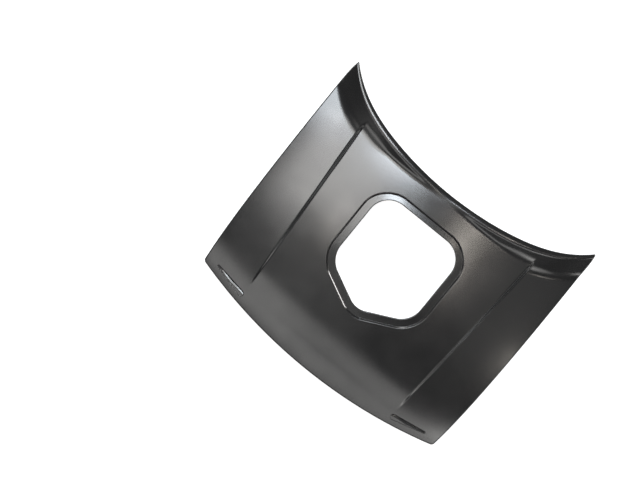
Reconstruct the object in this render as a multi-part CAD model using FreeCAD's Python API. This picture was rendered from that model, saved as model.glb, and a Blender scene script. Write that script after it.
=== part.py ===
import FreeCAD
import Part
import math
import os

# Car bonnet with a scoop opening: pressed outer skin, inner frame, hinge and latch
# plates with their weld nuts, and the mastic strips between skin and frame.
# Lengths are in millimetres. X runs across the car, +Y to the windscreen, +Z up.

# Plan of the bonnet
bonnet_width = 1480.0
bonnet_length = 1300.0
front_corner_half_width = 707.0
front_bow = 95.0
side_round_share = 0.6
rear_rise = 221.0
rear_round_share = 0.674
tip_half_width = 727.0
waist_reach = 150.0
front_corner_radius = 20.0
tip_corner_radius = 4.0

# Form of the skin
sheet = 0.9
crown = 50.0
arch = 25.0
nose_drop = 13.0
nose_reach = 330.0
edge_depth = 22.0
hem_width = 20.0

# Raised centre section
step_height = 16.0
step_front_height = 4.0
step_band = 13.0
step_rear_half = 523.0
step_front_half = 458.0
step_front_setback = 110.0
step_fade = 150.0
step_growth = 850.0

# Kicked-up rear lip
kick_slope = 0.33
kick_width_side = 128.0
kick_width_middle = 84.0
kick_width_bulge = 2.4
crest_inset_side = 12.0
crest_inset_middle = 24.0
crest_fall = 0.35

# Scoop opening and the band round it
opening_half_width = 243.0
opening_rear = 248.0
opening_length = 512.0
opening_point_angle = 26.0
opening_rear_radius = 108.0
opening_shoulder_radius = 118.0
opening_tip_radius = 100.0
band_width = 45.0
band_width_rear = 36.0
band_depth = 6.0
band_rise = 2.4
band_wall = 7.0
band_wall_lift = 0.6
band_overlap = 6.0

# Pockets near the front corners
pocket_inner = 455.0
pocket_length = 185.0
pocket_setback = 44.0
pocket_inner_radius = 15.0
pocket_outer_radius = 6.0
pocket_depth = 9.0
pocket_lip = 1.2
pocket_shallowing = 0.55
pocket_floor_margin = 8.0

# Inner frame
frame_sheet = 0.8
mastic_gap = 3.0
seat_gap = 0.2
frame_edge_gap = 1.5
channel_depth = 25.0
channel_draft = 8.0
flange_clearance = 4.0
side_channel = 105.0
front_channel = 115.0
surround_width = 85.0
ledge_support = 30.0
bar_width = 82.0
spine_width = 100.0
area_radius = 26.0
area_rear_inset = 68.0
front_bar_slope = 0.78
rear_bar_slope = 0.49
flange_width = 22.0
bar_flange_width = 28.0
window_width = 132.0
window_rib = 34.0
window_radius = 18.0
web_hole_radius = 19.0
side_hole_front = 170.0
side_hole_rear = 320.0
front_hole_shares = (0.27, 0.52)
rear_hole_shares = (0.16, 0.42)
front_hole_reach = 0.62
rear_hole_reach = 0.55
bar_hole_reach = 0.65

# Mastic strips between skin and frame
mastic_width = 14.0
mastic_clearance = 0.5
mastic_length = 40.0

# Hinge and latch plates with their weld nuts
plate_thickness = 3.0
plate_clearance = 0.6
hinge_pad_width = 52.0
hinge_pad_length = 150.0
hinge_side_inset = 68.0
hinge_tip_setback = 270.0
hinge_bolt_spacing = 90.0
latch_pad_width = 150.0
latch_pad_length = 54.0
latch_setback = 68.0
latch_bolt_spacing = 100.0
pad_drop = 1.5
pad_corner_radius = 12.0
bolt_hole_radius = 4.5
web_bolt_clearance = 1.5
nut_across_flats = 13.0
nut_height = 6.5
nut_bore_radius = 4.0

# Values that follow from the sizes above
half_width = bonnet_width / 2
apex_y = -bonnet_length / 2
tip_y = bonnet_length / 2
rear_middle_y = tip_y - rear_rise
waist_y = tip_y - waist_reach
front_corner_y = apex_y + front_bow
front_radius = (front_corner_half_width**2 + front_bow**2) / (2 * front_bow)
margin = 40.0
tall = 400.0
clear_above = 5.0
clear_below = 60.0
fit_rounds = 6

# Levels below the skin's upper face
frame_top = -(sheet + mastic_gap)
frame_bottom = frame_top - frame_sheet
web_bottom = -channel_depth
rim_bottom = -edge_depth + sheet + seat_gap
rim_top = rim_bottom + frame_sheet
ledge_top = -(sheet + seat_gap)
ledge_bottom = ledge_top - frame_sheet
deep = -channel_depth - clear_below


def clamp(value):
    return max(0.0, min(1.0, value))


def smooth(value):
    q = clamp(value)
    return q * q * (3 - 2 * q)


# Plan curves

def front_edge(x):
    return apex_y + front_radius - math.sqrt(front_radius**2 - x**2)


def rear_edge(x):
    q = abs(x) / tip_half_width
    return rear_middle_y + rear_rise * (rear_round_share * q**2 + (1 - rear_round_share) * q**6)


def side_edge(y):
    if y > waist_y:
        q = (y - waist_y) / (tip_y - waist_y)
        return half_width - (half_width - tip_half_width) * q**3
    q = (waist_y - y) / (waist_y - front_corner_y)
    draw_in = side_round_share * q**2 + (1 - side_round_share) * q**6
    return half_width - (half_width - front_corner_half_width) * draw_in


def step_line(y):
    front_y = apex_y + step_front_setback
    q = (y - front_y) / (rear_middle_y - front_y)
    return step_front_half + (step_rear_half - step_front_half) * q


# Heights of the pressed skin

def arch_peak():
    front = front_corner_y
    rear = waist_y
    level = nose_drop + crown * ((front_corner_half_width / half_width)**2 - 1)
    return (front + rear) / 2 - level * half_arch()**2 / (2 * arch * (rear - front))


def half_arch():
    return bonnet_length / 2


def base_height(x, y):
    across = -crown * (x / half_width)**2
    along = -arch * ((y - arch_peak()) / half_arch())**2
    return across + along


def nose_height(x, y):
    q = max(0.0, 1 - (y - front_edge(x)) / nose_reach)
    return -nose_drop * q**3


def step_rise(y):
    run = y - apex_y - step_front_setback
    growth = (step_height - step_front_height) * smooth(run / step_growth)
    return step_front_height * smooth(run / step_fade) + growth


def panel_height(x, y, raised):
    return base_height(x, y) + nose_height(x, y) + raised * step_rise(y)


def kick_width(x):
    q = clamp(abs(x) / tip_half_width)
    widening = (1 + kick_width_bulge) * q**2 - kick_width_bulge * q**4
    return kick_width_middle + (kick_width_side - kick_width_middle) * widening


def crest_inset(x):
    q = clamp(abs(x) / tip_half_width)
    return crest_inset_middle + (crest_inset_side - crest_inset_middle) * q


def foot_inset(x, y, raised):
    # The kick starts nearer the rear edge where the panel is raised.
    return kick_width(x) - raised * step_rise(y) / kick_slope


def kick_height(x, to_edge):
    width = kick_width(x)
    foot = base_height(x, rear_edge(x) - width)
    return foot + kick_slope * (width - to_edge)


def lip_height(x, to_edge):
    return kick_height(x, crest_inset(x)) - crest_fall * (crest_inset(x) - to_edge)


# Freeform patches, as B-splines with their poles on the height formulas

def knots(count, degree):
    inner = count - degree - 1
    return list(range(inner + 2)), [degree + 1] + [1] * inner + [degree + 1]


def pole_places(count, degree):
    # Parameter at which each pole pulls hardest.
    values, mults = knots(count, degree)
    full = [value for value, mult in zip(values, mults) for _ in range(mult)]
    return [sum(full[k + 1:k + degree + 1]) / degree for k in range(count)]


def patch(points):
    # Surface through a grid of points: cubic along a row of several, straight between two.
    u_degree = min(3, len(points) - 1)
    v_degree = min(3, len(points[0]) - 1)
    u_knots, u_mults = knots(len(points), u_degree)
    v_knots, v_mults = knots(len(points[0]), v_degree)
    poles = [list(row) for row in points]
    surface = Part.BSplineSurface()
    for _ in range(fit_rounds):
        surface.buildFromPolesMultsKnots(poles, u_mults, v_mults, u_knots, v_knots,
                                         False, False, u_degree, v_degree)
        for i, u in enumerate(pole_places(len(points), u_degree)):
            for j, v in enumerate(pole_places(len(points[0]), v_degree)):
                poles[i][j] = poles[i][j] + (points[i][j] - surface.value(u, v))
    return surface.toShape()


def spread(start, end, count):
    return [start + (end - start) * k / (count - 1) for k in range(count)]


def graded(start, end, count):
    # Places that a cubic patch of this many rows passes at even speed.
    places = pole_places(count, 3)
    return [start + (end - start) * place / places[-1] for place in places]


def across_zones(y):
    # Side, crease band, raised centre, crease band, side: positions and whether raised.
    inner = step_line(y) - step_band / 2
    outer = step_line(y) + step_band / 2
    edge = side_edge(y) + margin
    return [([-x for x in graded(edge, outer, 5)], (0, 0)),
            ([-outer, -inner], (0, 1)),
            (graded(-inner, inner, 7), (1, 1)),
            ([inner, outer], (1, 0)),
            (graded(outer, edge, 5), (0, 0))]


def along_zones(x, y, raised):
    # Panel, kicked-up slope, fall behind its crest.
    front = front_edge(x)
    rear = rear_edge(x)
    foot = rear - foot_inset(x, y, raised)
    crest = rear - crest_inset(x)
    return [graded(front - margin, foot, 14),
            [foot, crest],
            [crest, rear + margin]]


def grid_point(i, k, j, m):
    y = 0.0
    for _ in range(6):
        places, raised_ends = across_zones(y)[i]
        x = places[k]
        raised = raised_ends[0] if k == 0 else raised_ends[1]
        y = along_zones(x, y, raised)[j][m]
    to_edge = rear_edge(x) - y
    if j + m == 2 and j > 0:
        height = kick_height(x, to_edge)
    elif j == 2:
        height = lip_height(x, to_edge)
    else:
        height = panel_height(x, y, raised)
    return FreeCAD.Vector(x, y, height)


def top_faces():
    faces = []
    for i, (places, _) in enumerate(across_zones(0.0)):
        for j, rows in enumerate(along_zones(0.0, 0.0, 1)):
            poles = [[grid_point(i, k, j, m) for m in range(len(rows))] for k in range(len(places))]
            faces.append(patch(poles))
    return faces


def rim_edges(faces):
    # Edges that only one face has.
    found = {}
    for face in faces:
        for edge in face.Edges:
            middle = edge.valueAt((edge.FirstParameter + edge.LastParameter) / 2)
            key = (round(middle.x, 3), round(middle.y, 3), round(middle.z, 3))
            found.setdefault(key, []).append(edge)
    return [edges[0] for edges in found.values() if len(edges) == 1]


def layer(faces, top, bottom):
    # Solid between two copies of the same surface, one above the other.
    up = FreeCAD.Vector(0, 0, top)
    down = FreeCAD.Vector(0, 0, bottom - top)
    upper = [face.translated(up) for face in faces]
    lower = [face.translated(down) for face in upper]
    walls = [edge.extrude(down) for edge in rim_edges(upper)]
    shell = Part.makeShell(upper + lower + walls)
    shell.sewShape()
    solid = Part.makeSolid(shell)
    if solid.Volume < 0:
        solid.reverse()
    return solid


# Outlines as upright prisms

def rear_slant(x):
    step = 1.0
    rise = (rear_edge(abs(x) + step) - rear_edge(abs(x) - step)) / (2 * step)
    return math.sqrt(1 + rise**2)


def front_line(x, inset):
    return front_edge(x) + inset * front_radius / math.sqrt(front_radius**2 - x**2)


def rear_line(x, inset):
    return rear_edge(x) - inset * rear_slant(x)


def crossing(line, start, inset):
    x = start
    y = 0.0
    for _ in range(60):
        y = line(x, inset)
        x = side_edge(y) - inset
    return x, y


def spline_curve(points):
    curve = Part.BSplineCurve()
    curve.interpolate(points)
    return curve


def round_corner(first, second, centre, radius):
    # Arc of the given radius that touches both curves near the centre.
    for _ in range(80):
        for curve in (first, second):
            foot = curve.value(curve.parameter(centre))
            centre = foot + (centre - foot).normalize() * radius
    start = first.value(first.parameter(centre))
    end = second.value(second.parameter(centre))
    outward = ((start + end) / 2 - centre).normalize()
    return Part.Arc(start, centre + outward * radius, end)


def outline_wire(inset):
    corners = []
    for line, start, radius in ((front_line, front_corner_half_width, front_corner_radius),
                                (rear_line, tip_half_width, tip_corner_radius)):
        x, y = crossing(line, start, inset)
        bend = max(radius - inset, 1.0)
        corners.append((x, y, bend, crossing(line, start, inset + bend)))
    front_x, front_y, front_bend, front_centre = corners[0]
    rear_x, rear_y, rear_bend, rear_centre = corners[1]
    front = spline_curve([FreeCAD.Vector(x, front_line(x, inset), 0) for x in spread(-front_x, front_x, 9)])
    rear = spline_curve([FreeCAD.Vector(x, rear_line(x, inset), 0) for x in spread(rear_x, -rear_x, 21)])
    side_points = [FreeCAD.Vector(side_edge(y) - inset, y, 0) for y in spread(front_y, rear_y, 15)]
    right = spline_curve(side_points)
    left = spline_curve([FreeCAD.Vector(-p.x, p.y, 0) for p in reversed(side_points)])
    curves = [front, right, rear, left]
    bends = [front_bend, rear_bend, rear_bend, front_bend]
    centres = [(front_centre[0], front_centre[1]), (rear_centre[0], rear_centre[1]),
               (-rear_centre[0], rear_centre[1]), (-front_centre[0], front_centre[1])]
    arcs = []
    for k in range(4):
        centre = FreeCAD.Vector(centres[k][0], centres[k][1], 0)
        arcs.append(round_corner(curves[k], curves[(k + 1) % 4], centre, bends[k]))
    edges = []
    for k in range(4):
        begin = curves[k].parameter(arcs[k - 1].EndPoint)
        finish = curves[k].parameter(arcs[k].StartPoint)
        edges.append(curves[k].toShape(begin, finish))
        edges.append(arcs[k].toShape())
    return Part.Wire(edges)


def upright(wire, low=-tall / 2, high=tall / 2):
    # Straight prism through the whole part, or between two heights.
    prism = Part.Face(wire).extrude(FreeCAD.Vector(0, 0, high - low))
    prism.translate(FreeCAD.Vector(0, 0, low))
    return prism


def outline_prism(inset):
    return upright(outline_wire(inset))


def rounded_wire(points, radii, z=0.0):
    # Closed outline with an arc at each corner.
    count = len(points)
    corners = [FreeCAD.Vector(p[0], p[1], z) for p in points]
    arcs = []
    for k in range(count):
        here = corners[k]
        back = (corners[k - 1] - here).normalize()
        ahead = (corners[(k + 1) % count] - here).normalize()
        half = back.getAngle(ahead) / 2
        reach = radii[k] / math.tan(half)
        middle = (back + ahead).normalize() * (radii[k] / math.sin(half) - radii[k])
        arcs.append(Part.Arc(here + back * reach, here + middle, here + ahead * reach))
    edges = []
    for k in range(count):
        edges.append(arcs[k].toShape())
        edges.append(Part.LineSegment(arcs[k].EndPoint, arcs[(k + 1) % count].StartPoint).toShape())
    return Part.Wire(edges)


def grown(points, grow):
    # Each side of an anticlockwise outline moved outward.
    moved = []
    count = len(points)
    for k in range(count):
        here = FreeCAD.Vector(points[k][0], points[k][1], 0)
        back = FreeCAD.Vector(points[k - 1][0], points[k - 1][1], 0)
        ahead = FreeCAD.Vector(points[(k + 1) % count][0], points[(k + 1) % count][1], 0)
        first = (here - back).normalize()
        second = (ahead - here).normalize()
        normal = FreeCAD.Vector(first.y + second.y, -first.x - second.x, 0).normalize()
        scale = grow / normal.dot(FreeCAD.Vector(first.y, -first.x, 0))
        moved.append((here.x + normal.x * scale, here.y + normal.y * scale))
    return moved


# Scoop opening

def opening_corners(grow, grow_rear):
    slope = math.tan(math.radians(opening_point_angle))
    width = opening_half_width + grow
    tip_gap = opening_tip_radius * (1 / math.cos(math.radians(opening_point_angle)) - 1)
    point = opening_rear - opening_length - tip_gap - grow / math.cos(math.radians(opening_point_angle))
    shoulder = point + width * slope
    rear = opening_rear + grow_rear
    rear_radius = opening_rear_radius + (grow + grow_rear) / 2
    shoulder_radius = opening_shoulder_radius + grow
    points = [(0, point), (width, shoulder), (width, rear), (-width, rear), (-width, shoulder)]
    radii = [opening_tip_radius + grow, shoulder_radius, rear_radius, rear_radius, shoulder_radius]
    return points, radii


def opening_wire(grow, grow_rear=None):
    points, radii = opening_corners(grow, grow if grow_rear is None else grow_rear)
    return rounded_wire(points, radii)


def opening_half_path(grow, grow_rear):
    # Points from the tip round the right side to the rear middle.
    points, radii = opening_corners(grow, grow_rear)
    edges = rounded_wire(points, radii).OrderedEdges
    path = []
    for edge in edges[:6]:
        steps = 3 if edge.Curve.TypeId == "Part::GeomLine" else 4
        for q in spread(edge.FirstParameter, edge.LastParameter, steps + 1)[:-1]:
            path.append(edge.valueAt(q))
    path = [p for p in path if p.x > 1.0]
    first = FreeCAD.Vector(0, edges[0].valueAt((edges[0].FirstParameter + edges[0].LastParameter) / 2).y, 0)
    last = FreeCAD.Vector(0, opening_rear + grow_rear, 0)
    return [first] + path + [last]


def band_loops():
    # Growth of the opening's outline and height below the panel, from inside to outside.
    rise = band_rise / (band_width - band_wall)
    foot = band_width - band_wall
    rear_foot = band_width_rear - band_wall
    lift = band_wall_lift * band_wall
    return [(-band_overlap, -band_overlap, -band_depth + rise * (foot + band_overlap)),
            (foot, rear_foot, -band_depth),
            (band_width + lift, band_width_rear + lift, band_wall_lift * band_depth)]


def band_strip(inner, outer, mirror):
    rows = []
    for grow, grow_rear, drop in (inner, outer):
        row = []
        for p in opening_half_path(grow, grow_rear):
            row.append(FreeCAD.Vector(mirror * p.x, p.y, panel_height(p.x, p.y, 1) + drop))
        rows.append(row)
    return patch([list(pair) for pair in zip(*rows)])


def ledge_faces():
    loops = band_loops()
    return [band_strip(loops[0], loops[1], side) for side in (1, -1)]


def band_faces():
    loops = band_loops()
    return ledge_faces() + [band_strip(loops[1], loops[2], side) for side in (1, -1)]


# Pockets near the front corners

def pocket_ends(side):
    start_x = pocket_inner + pocket_inner_radius
    end_x = pocket_inner + pocket_length - pocket_outer_radius
    inner = FreeCAD.Vector(side * start_x, front_edge(start_x) + pocket_setback, 0)
    outer = FreeCAD.Vector(side * end_x, front_edge(end_x) + pocket_setback, 0)
    return inner, outer


def pocket_wire(side, grow):
    inner, outer = pocket_ends(side)
    along = (outer - inner).normalize()
    across = FreeCAD.Vector(-along.y, along.x, 0)
    inner_radius = pocket_inner_radius + grow
    outer_radius = pocket_outer_radius + grow
    lean = (inner_radius - outer_radius) / (outer - inner).Length
    level = math.sqrt(1 - lean**2)
    up = along * lean + across * level
    down = along * lean - across * level
    corners = [inner + up * inner_radius, inner + down * inner_radius,
               outer + down * outer_radius, outer + up * outer_radius]
    curves = [Part.Arc(corners[0], inner - along * inner_radius, corners[1]),
              Part.LineSegment(corners[1], corners[2]),
              Part.Arc(corners[2], outer + along * outer_radius, corners[3]),
              Part.LineSegment(corners[3], corners[0])]
    return Part.Wire([curve.toShape() for curve in curves])


def pocket_floor(side):
    # Deepest at the rear wall and the inner end, rising to the front.
    inner, outer = pocket_ends(side)
    along = outer - inner
    across = FreeCAD.Vector(-along.y, along.x, 0).normalize() * side
    reach = pocket_inner_radius + pocket_floor_margin
    poles = []
    for q in spread(-0.2, 1.2, 5):
        row = []
        for t in (-1.0, 0.0, 1.0):
            p = inner + along * q + across * (t * reach)
            fall = (pocket_depth - pocket_lip) * (1 - pocket_shallowing * clamp(q))
            depth = pocket_lip + fall * (t + 1) / 2
            row.append(FreeCAD.Vector(p.x, p.y, panel_height(p.x, p.y, 0) - depth))
        poles.append(row)
    return patch(poles)


def pocket_tool(side, grow, drop):
    return layer([pocket_floor(side)], tall / 4, drop).common(upright(pocket_wire(side, grow)))


# Skin

def pressed_in(solid, drop, grow):
    # The band, opening and pockets taken out of the space under the skin.
    tools = [layer(band_faces(), tall / 4, drop), upright(opening_wire(grow))]
    tools += [pocket_tool(side, grow, drop) for side in (1, -1)]
    return solid.cut(tools)


def outer_skin(top):
    outside = layer(top, 0, -edge_depth).common(outline_prism(0.0))
    outside = pressed_in(outside, 0.0, 0.0)
    inside = layer(top, -sheet, -edge_depth + sheet).common(outline_prism(sheet))
    inside = pressed_in(inside, -sheet, sheet)
    mouth = layer(top, -edge_depth + 2 * sheet, deep).common(outline_prism(hem_width))
    mouth = mouth.cut(upright(opening_wire(sheet)))
    return outside.cut([inside, mouth])


# Inner frame

def line_y(start, end, x):
    return start[1] + (end[1] - start[1]) * (x - start[0]) / (end[0] - start[0])


def side_area():
    # Lifted panel between the surround, the side channel and the diagonal bars.
    inner = opening_half_width + surround_width
    rear_y = opening_rear - area_rear_inset
    shoulder = opening_corners(0, 0)[0][1][1]
    outer_rear = side_edge(rear_y) - side_channel
    outer_front = side_edge(apex_y / 2) - side_channel
    return [(inner, shoulder), (outer_front, shoulder - front_bar_slope * (outer_front - inner)),
            (outer_rear, rear_y + rear_bar_slope * (outer_rear - inner)), (inner, rear_y)]


def front_area():
    # Lifted panel between the spine, the front channel and the diagonal bar.
    corner, far = side_area()[0], side_area()[1]
    tilt = math.hypot(far[0] - corner[0], far[1] - corner[1]) / (far[0] - corner[0])
    slope = math.tan(math.radians(opening_point_angle))
    point = opening_corners(surround_width, surround_width)[0][0][1]
    inner = spine_width / 2
    meet = corner[0] - bar_width / 2
    outer = far[0] - bar_width
    return [(inner, front_edge(inner) + front_channel), (outer, front_edge(outer) + front_channel),
            (outer, line_y(corner, far, outer) - bar_width * tilt),
            (meet, line_y(corner, far, meet) - bar_width * tilt),
            (inner, point + inner * slope)]


def both_sides(points):
    mirrored = [(-x, y) for x, y in reversed(points)]
    return [points, mirrored]


def all_areas():
    return both_sides(side_area()) + both_sides(front_area())


def drafted(points, grow):
    # Prism whose sides spread by the draft angle towards the bottom.
    x = sum(p[0] for p in points) / len(points)
    y = sum(p[1] for p in points) / len(points)
    middle = panel_height(x, y, 0) + frame_bottom
    wires = []
    for height in (margin, -2 * margin):
        spread_out = grow + (middle - height) * math.tan(math.radians(channel_draft))
        radii = [area_radius + spread_out] * len(points)
        wires.append(rounded_wire(grown(points, spread_out), radii, height))
    return Part.makeLoft(wires, True, True)


def pad_centres():
    y = tip_y - hinge_tip_setback
    x = side_edge(y) - hinge_side_inset
    return {"right": (x, y), "left": (-x, y), "latch": (0.0, apex_y + latch_setback)}


def pad_size(name):
    if name == "latch":
        return latch_pad_width, latch_pad_length
    return hinge_pad_width, hinge_pad_length


def pad_wire(name, shrink):
    x, y = pad_centres()[name]
    width, length = pad_size(name)
    a = width / 2 - shrink
    b = length / 2 - shrink
    points = [(x - a, y - b), (x + a, y - b), (x + a, y + b), (x - a, y + b)]
    return rounded_wire(points, [pad_corner_radius - shrink] * 4)


def pad_level(name):
    # Underside of the flat pad, just below the lowest web around it.
    x, y = pad_centres()[name]
    width, length = pad_size(name)
    corners = [(x + a * width / 2, y + b * length / 2) for a in (-1, 1) for b in (-1, 1)]
    return min(panel_height(p, q, 0) for p, q in corners) + web_bottom - pad_drop


def bolt_places(name):
    x, y = pad_centres()[name]
    if name == "latch":
        return [(x - latch_bolt_spacing / 2, y), (x + latch_bolt_spacing / 2, y)]
    return [(x, y - hinge_bolt_spacing / 2), (x, y + hinge_bolt_spacing / 2)]


def cylinder(x, y, radius, low=-tall / 2, high=tall / 2):
    return Part.makeCylinder(radius, high - low, FreeCAD.Vector(x, y, low))


def window_prisms():
    # Two windows in each side area and two in each front area.
    inner = side_area()[0][0] + flange_width
    outer = min(side_area()[1][0], side_area()[2][0]) - flange_width
    middle = (side_area()[0][1] + side_area()[3][1]) / 2
    windows = []
    for direction in (-1, 1):
        near = middle + direction * window_rib / 2
        far = near + direction * window_width
        low, high = sorted((near, far))
        windows.append([(inner, low), (outer, low), (outer, high), (inner, high)])
    front = front_area()
    start = front[0][0] + flange_width
    for k in range(2):
        left = start + k * (window_width + window_rib)
        right = left + window_width
        low = [front_edge(x) + front_channel + flange_width for x in (left, right)]
        edge = (front[4], front[3])
        high = [line_y(*edge, x) - bar_flange_width for x in (left, min(right, edge[1][0]))]
        high[1] = min(high[1], line_y(front[3], front[2], right) - bar_flange_width)
        windows.append([(left, low[0]), (right, low[1]), (right, high[1]), (left, high[0])])
    prisms = []
    for window in windows:
        for points in both_sides(window):
            prisms.append(upright(rounded_wire(points, [window_radius] * 4)))
    return prisms


def web_hole_places():
    # Drain and access holes along the channels and bars.
    places = []
    for y in spread(front_corner_y + side_hole_front, waist_y - side_hole_rear, 3):
        places.append((side_edge(y) - hinge_side_inset, y))
    for share in front_hole_shares:
        x = share * half_width
        places.append((x, front_edge(x) + front_hole_reach * front_channel))
    for share in rear_hole_shares:
        x = share * half_width
        places.append((x, rear_edge(x) - rear_hole_reach * front_channel))
    corner, far = side_area()[0], side_area()[1]
    x = (corner[0] + far[0] - bar_width) / 2
    places.append((x, line_y(corner, far, x) - bar_hole_reach * bar_width))
    return places + [(-x, y) for x, y in places]


def inner_frame(top):
    rim_inset = sheet + frame_edge_gap
    wall_inset = hem_width + flange_clearance
    solid = layer(top, frame_top, web_bottom).common(outline_prism(rim_inset))
    void = layer(top, frame_top + clear_above, web_bottom + frame_sheet).common(outline_prism(0.0))
    below = layer(top, rim_bottom, deep).cut(outline_prism(wall_inset))
    below_void = layer(top, rim_top, deep).cut(outline_prism(wall_inset + frame_sheet))
    lifts = [below]
    void_lifts = [below_void]
    lift = layer(top, frame_bottom, deep)
    void_lift = layer(top, frame_top, deep)
    for points in all_areas():
        lifts.append(lift.common(drafted(points, 0.0)))
        void_lifts.append(void_lift.common(drafted(points, frame_sheet)))
    ledge = ledge_faces()
    support = upright(opening_wire(ledge_support))
    void_support = upright(opening_wire(ledge_support + frame_sheet))
    lifts.append(layer(ledge, ledge_bottom, deep).common(support))
    void_lifts.append(layer(ledge, ledge_top, deep).common(void_support))
    solid = solid.cut(lifts)
    void = void.cut(void_lifts)
    full = layer(top, frame_top, deep)
    full_void = layer(top, frame_top + clear_above, deep)
    bosses = []
    hollows = []
    for name in pad_centres():
        level = pad_level(name)
        bosses.append(full.common(upright(pad_wire(name, 0.0), level, tall / 2)))
        hollows.append(full_void.common(upright(pad_wire(name, frame_sheet), level + frame_sheet, tall / 2)))
    solid = solid.fuse(bosses)
    void = void.fuse(hollows)
    cuts = [void, upright(opening_wire(sheet + frame_edge_gap))] + window_prisms()
    cuts += [cylinder(x, y, web_hole_radius) for x, y in web_hole_places()]
    for name in pad_centres():
        cuts += [cylinder(x, y, bolt_hole_radius + web_bolt_clearance) for x, y in bolt_places(name)]
    return solid.cut(cuts)


# Plates, nuts and mastic

def plate_bottom(name):
    return pad_level(name) + frame_sheet + seat_gap


def plate(name):
    bottom = plate_bottom(name)
    solid = upright(pad_wire(name, frame_sheet + plate_clearance), bottom, bottom + plate_thickness)
    return solid.cut([cylinder(x, y, bolt_hole_radius) for x, y in bolt_places(name)])


def weld_nut(name, place):
    x, y = place
    bottom = plate_bottom(name) + plate_thickness + seat_gap
    corner = nut_across_flats / math.sqrt(3)
    centre = FreeCAD.Vector(x, y, 0)
    points = []
    for k in range(7):
        turn = k * math.pi / 3
        points.append(centre + FreeCAD.Vector(math.cos(turn), math.sin(turn), 0) * corner)
    body = upright(Part.makePolygon(points), bottom, bottom + nut_height)
    return body.cut(cylinder(x, y, nut_bore_radius))


def mastic_places():
    # On the flanges round the windows, over the lifted panels.
    side = side_area()
    front = front_area()
    middle = (side[0][1] + side[3][1]) / 2
    reach = window_rib / 2 + window_width / 2
    inner = side[0][0] + flange_width / 2
    outer = min(side[1][0], side[2][0]) - flange_width / 2
    places = [(x, middle + k * reach) for x in (inner, outer) for k in (-1, 1)]
    places.append((front[0][0] + flange_width / 2, (front[0][1] + front[4][1]) / 2))
    rib = front[0][0] + flange_width + window_width + window_rib / 2
    places.append((rib, front[0][1] + 2 * flange_width))
    return places


def skin_height(panels, x, y):
    # Height of the pressed surface straight above a place in plan.
    found = []
    for face in panels:
        point = FreeCAD.Vector(x, y, 0)
        for _ in range(12):
            u, v = face.Surface.parameter(point)
            foot = face.Surface.value(u, v)
            point.z = foot.z
        found.append((math.hypot(foot.x - x, foot.y - y), foot.z))
    return min(found)[1]


def mastic_strip(panels, x, y):
    # Flat strip laid square to the skin, midway in the gap.
    half = mastic_length / 2
    height = skin_height(panels, x, y)
    slope_x = (skin_height(panels, x + half, y) - skin_height(panels, x - half, y)) / (2 * half)
    slope_y = (skin_height(panels, x, y + half) - skin_height(panels, x, y - half)) / (2 * half)
    normal = FreeCAD.Vector(-slope_x, -slope_y, 1)
    thickness = mastic_gap - 2 * mastic_clearance
    strip = Part.makeBox(mastic_width, mastic_length, thickness,
                         FreeCAD.Vector(-mastic_width / 2, -half, -thickness / 2))
    strip.rotate(FreeCAD.Vector(0, 0, 0), FreeCAD.Vector(0, 0, 1).cross(normal),
                 math.degrees(FreeCAD.Vector(0, 0, 1).getAngle(normal)))
    strip.translate(FreeCAD.Vector(x, y, height - sheet - mastic_gap / 2))
    return strip


def mastic_strips(top):
    panels = top[::3]
    strips = {}
    for side, sign in (("right", 1), ("left", -1)):
        for k, (x, y) in enumerate(mastic_places()):
            strips["mastic_strip_%s_%d" % (side, k + 1)] = mastic_strip(panels, sign * x, y)
    return strips


def build():
    top = top_faces()
    parts = {"outer_skin": outer_skin(top), "inner_frame": inner_frame(top)}
    for name in pad_centres():
        role = "latch" if name == "latch" else "hinge"
        ending = "" if name == "latch" else "_" + name
        parts[role + "_plate" + ending] = plate(name)
        for k, place in enumerate(bolt_places(name)):
            parts["%s_nut%s_%d" % (role, ending, k + 1)] = weld_nut(name, place)
    parts.update(mastic_strips(top))
    box = parts["outer_skin"].optimalBoundingBox(False)
    lowest = min(shape.optimalBoundingBox(False).ZMin for shape in parts.values())
    middle = (box.YMin + box.YMax) / 2
    for shape in parts.values():
        shape.translate(FreeCAD.Vector(0, -middle, -lowest))
    return parts


def main():
    os.makedirs("parts", exist_ok=True)
    for name, shape in build().items():
        solid = shape.Solids[0] if len(shape.Solids) == 1 else shape
        print(name, len(shape.Solids), solid.isValid(), round(solid.Volume))
        solid.exportStep("parts/" + name + ".step")


main()
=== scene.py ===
import bpy
import math
import numpy as np
from mathutils import Matrix, Vector
from mathutils.geometry import delaunay_2d_cdt


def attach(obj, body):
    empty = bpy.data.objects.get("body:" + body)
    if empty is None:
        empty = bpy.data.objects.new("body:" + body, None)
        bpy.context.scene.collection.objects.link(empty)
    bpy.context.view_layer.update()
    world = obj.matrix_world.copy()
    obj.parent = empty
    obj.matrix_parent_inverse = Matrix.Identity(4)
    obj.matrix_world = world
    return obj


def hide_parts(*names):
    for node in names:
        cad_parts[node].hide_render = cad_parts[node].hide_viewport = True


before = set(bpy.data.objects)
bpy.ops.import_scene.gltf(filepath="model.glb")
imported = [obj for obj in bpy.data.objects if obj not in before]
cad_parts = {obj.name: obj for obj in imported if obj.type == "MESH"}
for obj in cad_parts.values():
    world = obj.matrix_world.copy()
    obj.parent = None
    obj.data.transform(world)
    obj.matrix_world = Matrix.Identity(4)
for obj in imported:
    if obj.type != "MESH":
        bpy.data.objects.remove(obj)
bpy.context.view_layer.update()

# Car bonnet with a scoop opening, in black dip coat. The skin is rebuilt from the
# formulas of the solid model, in millimetres, with rounded folds and edges and a
# steeper rear lip. X runs across the car, +Y to the windscreen, +Z up.

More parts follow.
